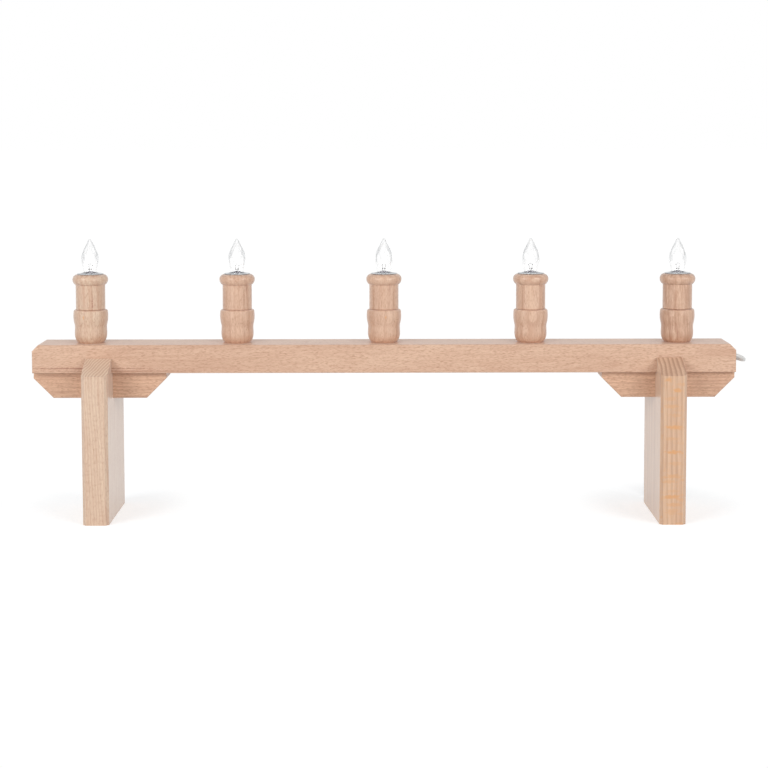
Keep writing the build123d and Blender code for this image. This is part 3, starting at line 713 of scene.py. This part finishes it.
def build_screw_shell(number):
    """Rolled brass shell in the lamp holder."""
    name = f"screw_shell_{number}"
    low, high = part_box(name)
    x = candle_axis(number)
    bm = thread_surface(x, SHELL_CREST, SHELL_ROOT, low.z + SHELL_TRIM, high.z - SHELL_TRIM)
    shell = add_piece(name + "_thread", bm, [brass], "holder", "brass", name)
    add_wall(shell, SHELL_WALL, 1.0)


CAP_CREST = 4.62 * MM
CAP_ROOT = 4.27 * MM
CAP_MIDDLE = 4.0 * MM
COLLAR_HEIGHT = 1.3 * MM
THREAD_START = 2.9 * MM


def build_bulb_cap(number):
    """Threaded cap with a collar under the glass, a black insulator and a soldered tip."""
    name = f"bulb_cap_{number}"
    low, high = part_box(name)
    x = candle_axis(number)
    collar = high.z - COLLAR_HEIGHT
    bm = thread_surface(x, CAP_CREST, CAP_ROOT, low.z + THREAD_START, collar)
    open_edges = [edge for edge in bm.edges if edge.is_boundary]
    for upper in (False, True):
        ends = [edge for edge in open_edges if (edge.verts[0].co.z > low.z + CAP_MIDDLE) == upper]
        bmesh.ops.edgeloop_fill(bm, edges=ends)
    rim = [(0, 0), (4.3, 0), (4.6, 0.25), (4.6, 1.0), (4.45, 1.3), (0, 1.3)]
    turn_outline(bm, rim, x, 0, collar)
    insulator = [(0, 0.7), (1.5, 0.7), (1.9, 0.9), (3.9, 2.5), (4.1, 2.9), (0, 2.9)]
    turn_outline(bm, insulator, x, 0, low.z, material=1)
    tip = [(0, 0), (0.7, 0.08), (1.25, 0.35), (1.5, 0.75), (0, 0.75)]
    turn_outline(bm, tip, x, 0, low.z, steps=24)
    add_piece(name + "_thread", bm, [cap_metal, cap_insulator], f"bulb_{number}", "cap_metal", name)


LOBES = 6
LOBE_DEPTH = 0.13
LOBE_TWIST = radians(140)
LOBE_STEPS = 18
LOBE_PHASE = 0.9
TWIST_POWER = 1.4
NECK_FADE = 0.3
TIP_FADE = 0.12
GLASS_WALL = 0.3 * MM
GLASS_HEIGHT = 32.5


def build_bulb_glass(number):
    """Pointed glass, pinched into twisted lobes between neck and tip."""
    name = f"bulb_glass_{number}"
    low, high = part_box(name)
    x = candle_axis(number)
    height = high.z - low.z
    bm = bmesh.new()
    outline = bezier_outline(
        ((4.5, 0), (4.7, 4.5), (7.15, 9.5), (7.15, 16.0)),
        ((7.15, 16.0), (7.15, 21.5), (4.4, 25.5), (2.0, 30.0)),
        ((2.0, 30.0), (1.35, 31.3), (0.8, GLASS_HEIGHT), (0.0, GLASS_HEIGHT)),
    )
    scale = height / (GLASS_HEIGHT * MM)
    turn_outline(bm, [(r, h * scale) for r, h in outline], x, 0, low.z, steps=LOBES * LOBE_STEPS)
    phase = LOBE_PHASE * number
    for vert in bm.verts:
        share = (vert.co.z - low.z) / height
        away = Vector((vert.co.x - x, vert.co.y, 0))
        turned = atan2(away.y, away.x) + phase + LOBE_TWIST * share ** TWIST_POWER
        fade = min(1.0, share / NECK_FADE) * min(1.0, (1.0 - share) / TIP_FADE)
        pinch = 1.0 - LOBE_DEPTH * fade * (1.0 - abs(cos(LOBES * turned / 2)))
        vert.co.x = x + away.x * pinch
        vert.co.y = away.y * pinch
    piece = add_piece(name + "_lobed", bm, [glass], f"bulb_{number}", "clear_glass", name)
    add_wall(piece, GLASS_WALL, -1.0)


def round_line(name, points, radius, roundness, smoothness):
    """Round tube on one smooth spline, whose control points are the points."""
    curve = bpy.data.curves.new(name, "CURVE")
    curve.dimensions = "3D"
    curve.bevel_depth = radius
    curve.bevel_resolution = roundness
    curve.use_fill_caps = True
    curve.resolution_u = smoothness
    spline = curve.splines.new("NURBS")
    spline.points.add(len(points) - 1)
    for point, place in zip(spline.points, points):
        point.co = (*place, 1)
    spline.order_u = 3
    spline.use_endpoint_u = True
    spline.resolution_u = smoothness
    return curve


def add_wire(bm, points, radius):
    """Add a fine wire to a mesh, as a closed tube."""
    curve = round_line("wire", points, radius, roundness=2, smoothness=4)
    holder = bpy.data.objects.new("wire", curve)
    mesh = bpy.data.meshes.new_from_object(holder)
    bm.from_mesh(mesh)
    bpy.data.objects.remove(holder)
    bpy.data.curves.remove(curve)
    bpy.data.meshes.remove(mesh)


# Lead wires and filament: heights above the foot of the glass stem, and distances from the bulb's axis
LEAD_START = (0.7 * MM, 5.6 * MM)
BEAD_PLACE = (0.9 * MM, 7.7 * MM)
HOOK_PLACE = (1.5 * MM, 10.9 * MM)
LEAD_STAND = Vector((0, 0, 1.2 * MM))
HALF_BEAD = Vector((0, 0, 0.5 * MM))
CRIMP_DROP = Vector((0, 0, 0.4 * MM))
CRIMP_REACH = Vector((0.2 * MM, 0, 0.3 * MM))
LEAD_SWAY = 0.4 * MM
SWAY_STEP = 2.1
LEAD_RADIUS = 0.12 * MM
BEAD_RADIUS = 0.55 * MM
CRIMP_RADIUS = 0.3 * MM
COIL_TURNS = 9
COIL_STEPS = 8
COIL_ARCH = 1.2 * MM
COIL_RADIUS = 0.2 * MM
COIL_WIRE = 0.04 * MM


def build_filament(number):
    """Two lead wires, each with a bead, crimped at the top to a small coiled filament."""
    name = f"bulb_filament_{number}"
    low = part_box(name)[0]
    x = candle_axis(number)
    bm = bmesh.new()
    sway = LEAD_SWAY * sin(SWAY_STEP * number)
    for side in (-1, 1):
        foot = Vector((x + side * LEAD_START[0], 0, low.z + LEAD_START[1]))
        bead = Vector((x + side * BEAD_PLACE[0], sway, low.z + BEAD_PLACE[1]))
        hook = Vector((x + side * HOOK_PLACE[0], sway, low.z + HOOK_PLACE[1]))
        crimp_end = hook + CRIMP_REACH * Vector((side, 1, 1))
        add_wire(bm, [foot, foot + LEAD_STAND, bead, hook], LEAD_RADIUS)
        add_wire(bm, [bead - HALF_BEAD, bead, bead + HALF_BEAD], BEAD_RADIUS)
        add_wire(bm, [hook - CRIMP_DROP, hook, crimp_end], CRIMP_RADIUS)
    coil = []
    for step in range(COIL_TURNS * COIL_STEPS + 1):
        share = step / (COIL_TURNS * COIL_STEPS)
        swing = 2 * pi * step / COIL_STEPS
        coil.append(Vector((
            x + (2 * share - 1) * HOOK_PLACE[0],
            sway + COIL_RADIUS * sin(swing),
            low.z + HOOK_PLACE[1] + COIL_ARCH * sin(pi * share) + COIL_RADIUS * cos(swing),
        )))
    add_wire(bm, coil, COIL_WIRE)
    stem = [(0, 0.1), (3.8, 0.1), (3.7, 4.4), (3.4, 5.5), (2.3, 6.1), (0, 6.2)]
    turn_outline(bm, stem, x, 0, low.z, steps=32, material=1)
    add_piece(name + "_coil", bm, [filament_wire, stem_press], f"bulb_{number}", "filament_wire", name)


# Reach of the painted shade round the bulb hole: the disc's faces within it take the darker metal
PAINTED_SHADE_RADIUS = 7.6 * MM


def build_drip_disc(number):
    """Pressed metal disc with a turned-up rim, raised round the bulb hole, where painted shade makes it
    darker.
    """
    name = f"drip_disc_{number}"
    low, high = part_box(name)
    thick = (high.z - low.z) / MM
    outer = (high.x - low.x) / 2 / MM
    section = [
        (5.4, 0.9), (5.3, thick + 1.0), (5.6, thick + 1.2), (6.3, thick + 1.0), (7.8, thick + 0.6),
        (outer - 1.1, thick), (outer - 0.5, thick + 0.28), (outer - 0.1, thick + 0.3), (outer, thick + 0.1),
        (outer - 0.3, 0.1), (outer - 1.0, 0), (5.4, 0.9),
    ]
    bm = bmesh.new()
    x = candle_axis(number)
    turn_outline(bm, section, x, 0, low.z, steps=64)
    # Painted shade: the faces round the bulb hole take the darker metal
    for face in bm.faces:
        middle = face.calc_center_median()
        face.material_index = 1 if Vector((middle.x - x, middle.y)).length < PAINTED_SHADE_RADIUS else 0
    add_piece(name + "_pressed", bm, [disc_metal, painted_shade_metal], "holder", "disc_metal", name)


for number in CANDLES:
    build_screw_shell(number)
    build_bulb_cap(number)
    build_bulb_glass(number)
    build_filament(number)
    build_drip_disc(number)


SCREW_STEPS = 24
SCREW_HEAD = 3.5
SCREW_PLACES = ((-28 * MM, -9 * MM), (28 * MM, 9 * MM))
RECESS_ARM = 2.0 * MM
RECESS_HALF_WIDTH = 0.45 * MM
RECESS_DEPTH = 1.1 * MM


def build_screws():
    """Countersunk screws with a cross recess under the brackets."""
    bm = bmesh.new()
    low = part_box("bracket_screws")[0]
    centres = []
    for bracket in bracket_beech:
        start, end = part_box(bracket)
        centres += [((start.x + end.x) / 2 + dx, dy) for dx, dy in SCREW_PLACES]
    cross = [
        (RECESS_ARM, RECESS_HALF_WIDTH),
        (RECESS_HALF_WIDTH, RECESS_HALF_WIDTH),
        (RECESS_HALF_WIDTH, RECESS_ARM),
    ]
    for x, y in centres:
        rim = bmesh.ops.create_circle(
            bm, segments=SCREW_STEPS, radius=SCREW_HEAD * MM, matrix=Matrix.Translation((x, y, low.z)),
        )["verts"]
        rim_edges = {edge for vert in rim for edge in vert.link_edges}
        corners = []
        for quarter in range(4):
            turn = Matrix.Rotation(quarter * pi / 2, 2)
            corners += [turn @ Vector(corner) for corner in cross]
        slot_verts = [bm.verts.new((x + c.x, y + c.y, low.z)) for c in corners]
        slot_edges = [bm.edges.new(pair) for pair in zip(slot_verts, slot_verts[1:] + slot_verts[:1])]
        bmesh.ops.bridge_loops(bm, edges=list(rim_edges) + slot_edges)
        floor_edges = extruded_edges(bm, slot_edges, (0, 0, RECESS_DEPTH))
        bmesh.ops.edgeloop_fill(bm, edges=floor_edges)
        shank = [(SCREW_HEAD, 0), (1.75, 1.75), (1.6, 12), (1.75, 13), (1.75, 28.2), (0, 30)]
        turn_outline(bm, shank, x, y, low.z, steps=SCREW_STEPS)
    add_piece("bracket_screw_heads", bm, [screw_steel], "holder", "screw_steel", "bracket_screws")


build_screws()

# Cord: the route of the free stretch, then the loops of the hank and the lead to the plug

CORD_RADIUS = 1.5 * MM
# The lengths below are in millimetres
FREE_STRETCH = [
    (285, 0, 131.5), (285.4, 0, 131.43), (290.2, 0.1, 130.6), (294.5, 2.4, 128.5), (296.9, 6.5, 126.6),
    (297.2, 11.5, 125.6), (296.3, 17.2, 125.2), (295, 23.6, 125.1), (293.2, 31.4, 125), (290.4, 40.4, 124.3),
    (286, 49.5, 122.4), (279, 57, 117), (271, 63, 109), (263.2, 66.6, 99), (256.4, 67.8, 86),
    (250.6, 66.8, 70.5), (245.2, 64.2, 54), (239.8, 60.6, 38.8), (234.8, 57.2, 26.2), (230.4, 55.6, 16.8),
    (227.4, 57, 9.6), (226.2, 61.4, 5), (226.4, 66.8, 3), (227.6, 73.6, 2.6),
]
HANK_ANGLE = radians(8.4)
HANK_ACROSS = Vector((cos(HANK_ANGLE), -sin(HANK_ANGLE), 0))
HANK_ALONG = Vector((sin(HANK_ANGLE), cos(HANK_ANGLE), 0))
HANK_ORIGIN = Vector((247.8, 100, 0)) * MM
HALF_RUN = 22.5
TURN_PITCH = 3.6
HALF_STEP = TURN_PITCH / 2
INNER_WIDTH = 8.1
OUTER_WIDTH = INNER_WIDTH + 4 * HALF_STEP
FLOOR_LAYER = 2.6
# Points of a run: place along it as a share of its half length, and how far it bows out
RUN_SHAPE = ((-0.895, -0.16), (0, -1.6), (0.895, -0.16))
LAST_RUN_SHAPE = ((-0.895, -0.16), (0, -1.6), (0.55, 1.1), (0.895, 2.65))
PASSES = 3
LAYERS = 4
PLUG_X = -0.9
PLUG_AXIS = 24.75
RELIEF_TIP = -19.5
LEAD_BULGE = 3.0
LEAD_END = 1.2
PLUG_LENGTH = 48.0
PIN_SPREAD = 9.5
RELIEF_LENGTH = 16.0
RELIEF_ROOT = 3.8
RELIEF_NECK = 2.4
RELIEF_RINGS = 6
RING_PITCH = 2.2
TIE_BELOW = 2.2
TIE_ABOVE = 3.7
TIE_BESIDE = 0.9
TIE_HALF_WIDTH = 2.0
TIE_CORNER = 2.4
TIE_WALL = 0.5


def hank_point(x, y, z):
    """Point of the hank, given in its own millimetres."""
    return HANK_ORIGIN + (HANK_ACROSS * x + HANK_ALONG * y + Vector((0, 0, z))) * MM


def layer_height(layer):
    """Height of the middle of a layer's cords."""
    return FLOOR_LAYER + TURN_PITCH * layer


def hank_runs():
    """Side, half width, start layer and end layer of each run, from the floor up."""
    runs = [(-1, OUTER_WIDTH, 0, 0)]
    for layer in range(LAYERS):
        inwards = layer % 2 == 0
        for step in range(PASSES):
            place = PASSES - step if inwards else step + 1
            runs.append((1 if step % 2 == 0 else -1, INNER_WIDTH + place * HALF_STEP, layer, layer))
        if layer < LAYERS - 1:
            runs.append((-1, INNER_WIDTH if inwards else OUTER_WIDTH, layer, layer + 1))
    side, width, layer, _ = runs[-1]
    runs[-1] = (side, width, layer, layer + 1)
    return runs


def fold_points(start, end, way, z_start, z_end, steps=6):
    """Control points of the half round fold between two runs, a little outside the cord's own line."""
    middle = (start + end) / 2
    radius = (start - end) / 2
    reach = 1 / cos(pi / (4 * steps)) ** 2
    points = []
    for n in range(1, 2 * steps, 2):
        angle = pi * n / (2 * steps)
        z = z_start + (z_end - z_start) * n / (2 * steps)
        points.append(hank_point(
            middle + radius * reach * cos(angle),
            way * (HALF_RUN + abs(radius) * reach * sin(angle)),
            z,
        ))
    return points


def hank_points():
    """Control points of all the loops and of the lead to the plug."""
    points = []
    runs = hank_runs()
    for run, after in zip(runs, runs[1:] + [None]):
        side, width, z_start, z_end = run[0], run[1], layer_height(run[2]), layer_height(run[3])
        way = -side
        for along, bow in RUN_SHAPE if after else LAST_RUN_SHAPE:
            z = z_start + (z_end - z_start) * (along + 1) / 2
            points.append(hank_point(side * (width + bow), way * along * HALF_RUN, z))
        if after:
            points += fold_points(side * width, after[0] * after[1], way, z_end, layer_height(after[2]))
        else:
            points += fold_points(side * (width + LEAD_BULGE), PLUG_X, way, z_end, PLUG_AXIS)
    points.append(hank_point(PLUG_X, RELIEF_TIP - LEAD_END, PLUG_AXIS))
    points.append(hank_point(PLUG_X, RELIEF_TIP, PLUG_AXIS))
    return points


def build_cord():
    """One thin lead from the beam to the plug, on one smooth line."""
    points = [Vector(point) * MM for point in FREE_STRETCH] + hank_points()
    curve = round_line("cord", points, CORD_RADIUS, roundness=5, smoothness=6)
    curve.materials.append(cord_sheath)
    cord = bpy.data.objects.new("cord", curve)
    bpy.context.scene.collection.objects.link(cord)
    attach(cord, "holder")
    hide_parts("cord_drop", "cord_hank")
    return cord


def build_tie():
    """Flat band round the waist of the hank, with rounded corners."""
    low, high = layer_height(0) - TIE_BELOW, layer_height(LAYERS - 1) + TIE_ABOVE
    left, right = -(OUTER_WIDTH + TIE_BESIDE), OUTER_WIDTH - HALF_STEP + TIE_BESIDE
    bm = bmesh.new()
    ring = [(left, low), (right, low), (right, high), (left, high)]
    verts = [bm.verts.new(hank_point(x, -TIE_HALF_WIDTH, z)) for x, z in ring]
    for pair in zip(verts, verts[1:] + verts[:1]):
        bm.edges.new(pair)
    bmesh.ops.bevel(
        bm, geom=verts, offset=TIE_CORNER * MM, affect="VERTICES", segments=6, profile=0.5, material=-1,
    )
    extruded_edges(bm, bm.edges[:], HANK_ALONG * 2 * TIE_HALF_WIDTH * MM)
    tie = add_piece("cord_tie_band", bm, [tie_band], "holder", "tie_band", "cord_tie")
    add_wall(tie, TIE_WALL * MM, 0.0)
    return tie


def stand_along_plug(bm, distance):
    """Lay upright geometry along the plug, its foot this far from the tip of the strain relief."""
    turn = Matrix((HANK_ACROSS, -Vector((0, 0, 1)), HANK_ALONG)).transposed().to_4x4()
    move = Matrix.Translation(hank_point(PLUG_X, RELIEF_TIP + distance, PLUG_AXIS))
    bmesh.ops.transform(bm, matrix=move @ turn, verts=bm.verts)


def build_plug_pins():
    """Two round pins, sleeved in plastic for their inner half."""
    metal = [(0, 9.3), (1.7, 9.3), (1.98, 9.7), (1.98, 17.6), (1.7, 18.5), (1.1, 19), (0, 19)]
    sleeve = [(0, 0), (1.9, 0), (1.9, 9.2), (1.7, 9.6), (0, 9.6)]
    bm = bmesh.new()
    for side in (-PIN_SPREAD * MM, PIN_SPREAD * MM):
        turn_outline(bm, metal, side, 0, 0, steps=24)
        turn_outline(bm, sleeve, side, 0, 0, steps=24, material=1)
    stand_along_plug(bm, PLUG_LENGTH)
    return add_piece("plug_pins_sleeved", bm, [pin_metal, plug_plastic], "holder", "pin_metal", "plug_pins")


def build_relief_rings():
    """Moulded rings round the strain relief, where the lead flexes."""
    bm = bmesh.new()
    for n in range(RELIEF_RINGS):
        along = RING_PITCH + RING_PITCH * n
        radius = RELIEF_NECK + (RELIEF_ROOT - RELIEF_NECK) * along / RELIEF_LENGTH
        ring = [
            (radius - 0.4, along - 0.7), (radius + 0.35, along - 0.5), (radius + 0.5, along),
            (radius + 0.4, along + 0.5), (radius - 0.3, along + 0.7), (radius - 0.4, along - 0.7),
        ]
        turn_outline(bm, ring, 0, 0, 0, steps=32)
    stand_along_plug(bm, 0)
    return add_piece("plug_relief_rings", bm, [plug_plastic], "holder", "plug_plastic")


cord = build_cord()
tie = build_tie()
build_plug_pins()
build_relief_rings()

# Floor, light and camera

FLOOR_HALF_SIZE = 30.0
FLOOR_COLOUR = (0.83, 0.86, 0.885)
# Shadow of the legs: middle beside the feet and behind the front, its reach both ways, and where it fades
SHADOW_MIDDLE = (0.235, 0.01)
SHADOW_REACH = (0.09, 0.14)
SHADOW_FADE = (0.45, 1.0)
# Glow that keeps the floor white: its least share, and its strength as a line over the share
LEAST_GLOW = 0.1
GLOW_SLOPE = 0.605
GLOW_START = 0.415
# Strength of the light from the surround, in front and added at the back, and where it rises
SURROUND_DIM = 0.42
SURROUND_BACK = 0.3
SURROUND_RISE = (0.1, 0.9)
SOFTBOX_SIZE = (1.4, 1.2)
SOFTBOX_AIM = Vector((0, 0, 0.12))
SOFTBOXES = {"front_left": ((-1.7, -1.9, 1.05), 28.5), "front_right": ((1.7, -1.9, 1.05), 27)}
CAMERA_PLACE = (0.0001, -1.433, 0.3129)
CAMERA_PITCH = radians(90 - 4.407)
CAMERA_ROLL = radians(-0.1)
CAMERA_LENS = 82.451
CAMERA_SHIFT = -0.15


def seen_rays(tree):
    """1 for a ray from the camera, straight or by gloss or glass, and 0 for one that only lights."""
    path = add_node(tree, "ShaderNodeLightPath").outputs
    seen = reckon(tree, "MAXIMUM", path["Is Camera Ray"], path["Is Glossy Ray"])
    return reckon(tree, "MAXIMUM", seen, path["Is Transmission Ray"])


def build_stage():
    """White floor that keeps a faint shadow beside the feet."""
    bm = bmesh.new()
    bmesh.ops.create_grid(bm, x_segments=1, y_segments=1, size=FLOOR_HALF_SIZE)
    mesh = bpy.data.meshes.new("floor")
    bm.to_mesh(mesh)
    bm.free()
    floor = bpy.data.objects.new("floor", mesh)
    bpy.context.scene.collection.objects.link(floor)
    material = bpy.data.materials.new("floor_white")
    material.use_nodes = True
    tree = material.node_tree
    tree.nodes.clear()
    plain = add_node(tree, "ShaderNodeBsdfDiffuse", {"Color": (*FLOOR_COLOUR, 1)})
    place = add_node(tree, "ShaderNodeTexCoord").outputs["Object"]
    across = add_node(tree, "ShaderNodeSeparateXYZ", {0: place}).outputs
    beside = reckon(tree, "SUBTRACT", reckon(tree, "ABSOLUTE", across[0]), SHADOW_MIDDLE[0])
    beside = reckon(tree, "DIVIDE", beside, SHADOW_REACH[0])
    behind = reckon(tree, "SUBTRACT", across[1], SHADOW_MIDDLE[1])
    behind = reckon(tree, "DIVIDE", behind, SHADOW_REACH[1])
    away = add_node(tree, "ShaderNodeCombineXYZ", {0: beside, 1: behind}).outputs[0]
    clear = smooth_step(tree, reckon_vector(tree, "LENGTH", away), *SHADOW_FADE)
    share = reckon(tree, "MULTIPLY_ADD", clear, 1 - LEAST_GLOW, LEAST_GLOW)
    strength = reckon(tree, "DIVIDE", reckon(tree, "MULTIPLY_ADD", share, GLOW_SLOPE, GLOW_START), share)
    glow = add_node(tree, "ShaderNodeEmission", {"Color": (1, 1, 1, 1), "Strength": strength})
    share = reckon(tree, "MULTIPLY", seen_rays(tree), share)
    mixed = add_node(tree, "ShaderNodeMixShader", {0: share, 1: plain.outputs[0], 2: glow.outputs[0]})
    add_node(tree, "ShaderNodeOutputMaterial", {"Surface": mixed.outputs[0]})
    mesh.materials.append(material)


def build_world():
    """Soft surround, a little brighter at the back, and white where it is seen."""
    world = bpy.data.worlds.new("studio")
    world.use_nodes = True
    tree = world.node_tree
    tree.nodes.clear()
    way = add_node(tree, "ShaderNodeTexCoord").outputs["Generated"]
    back = add_node(tree, "ShaderNodeSeparateXYZ", {0: way}).outputs[1]
    dim = reckon(tree, "MULTIPLY_ADD", smooth_step(tree, back, *SURROUND_RISE), SURROUND_BACK, SURROUND_DIM)
    strength = reckon(tree, "MAXIMUM", seen_rays(tree), dim)
    light = add_node(tree, "ShaderNodeBackground", {"Color": (1, 1, 1, 1), "Strength": strength})
    add_node(tree, "ShaderNodeOutputWorld", {"Surface": light.outputs[0]})
    bpy.context.scene.world = world


def add_softbox(name, place, power):
    """Large soft lamp, aimed at the middle of the holder."""
    lamp = bpy.data.lights.new(name, "AREA")
    lamp.shape = "RECTANGLE"
    lamp.size, lamp.size_y = SOFTBOX_SIZE
    lamp.energy = power
    box = bpy.data.objects.new(name, lamp)
    box.location = place
    box.rotation_euler = (SOFTBOX_AIM - Vector(place)).to_track_quat("-Z", "Y").to_euler()
    bpy.context.scene.collection.objects.link(box)


def build_camera():
    """Long lens a little above the candles, tilted down."""
    data = bpy.data.cameras.new("camera")
    data.lens = CAMERA_LENS
    data.sensor_width = 36.0
    data.shift_y = CAMERA_SHIFT
    data.clip_start = 0.05
    data.clip_end = 100.0
    camera = bpy.data.objects.new("camera", data)
    camera.location = CAMERA_PLACE
    pitch = Matrix.Rotation(CAMERA_PITCH, 3, "X")
    roll = Matrix.Rotation(CAMERA_ROLL, 3, "Z")
    camera.rotation_euler = (pitch @ roll).to_euler()
    bpy.context.scene.collection.objects.link(camera)
    bpy.context.scene.camera = camera


build_stage()
build_world()
for name, (place, power) in SOFTBOXES.items():
    add_softbox(name, place, power)
build_camera()
bpy.context.scene.view_settings.view_transform = "Standard"
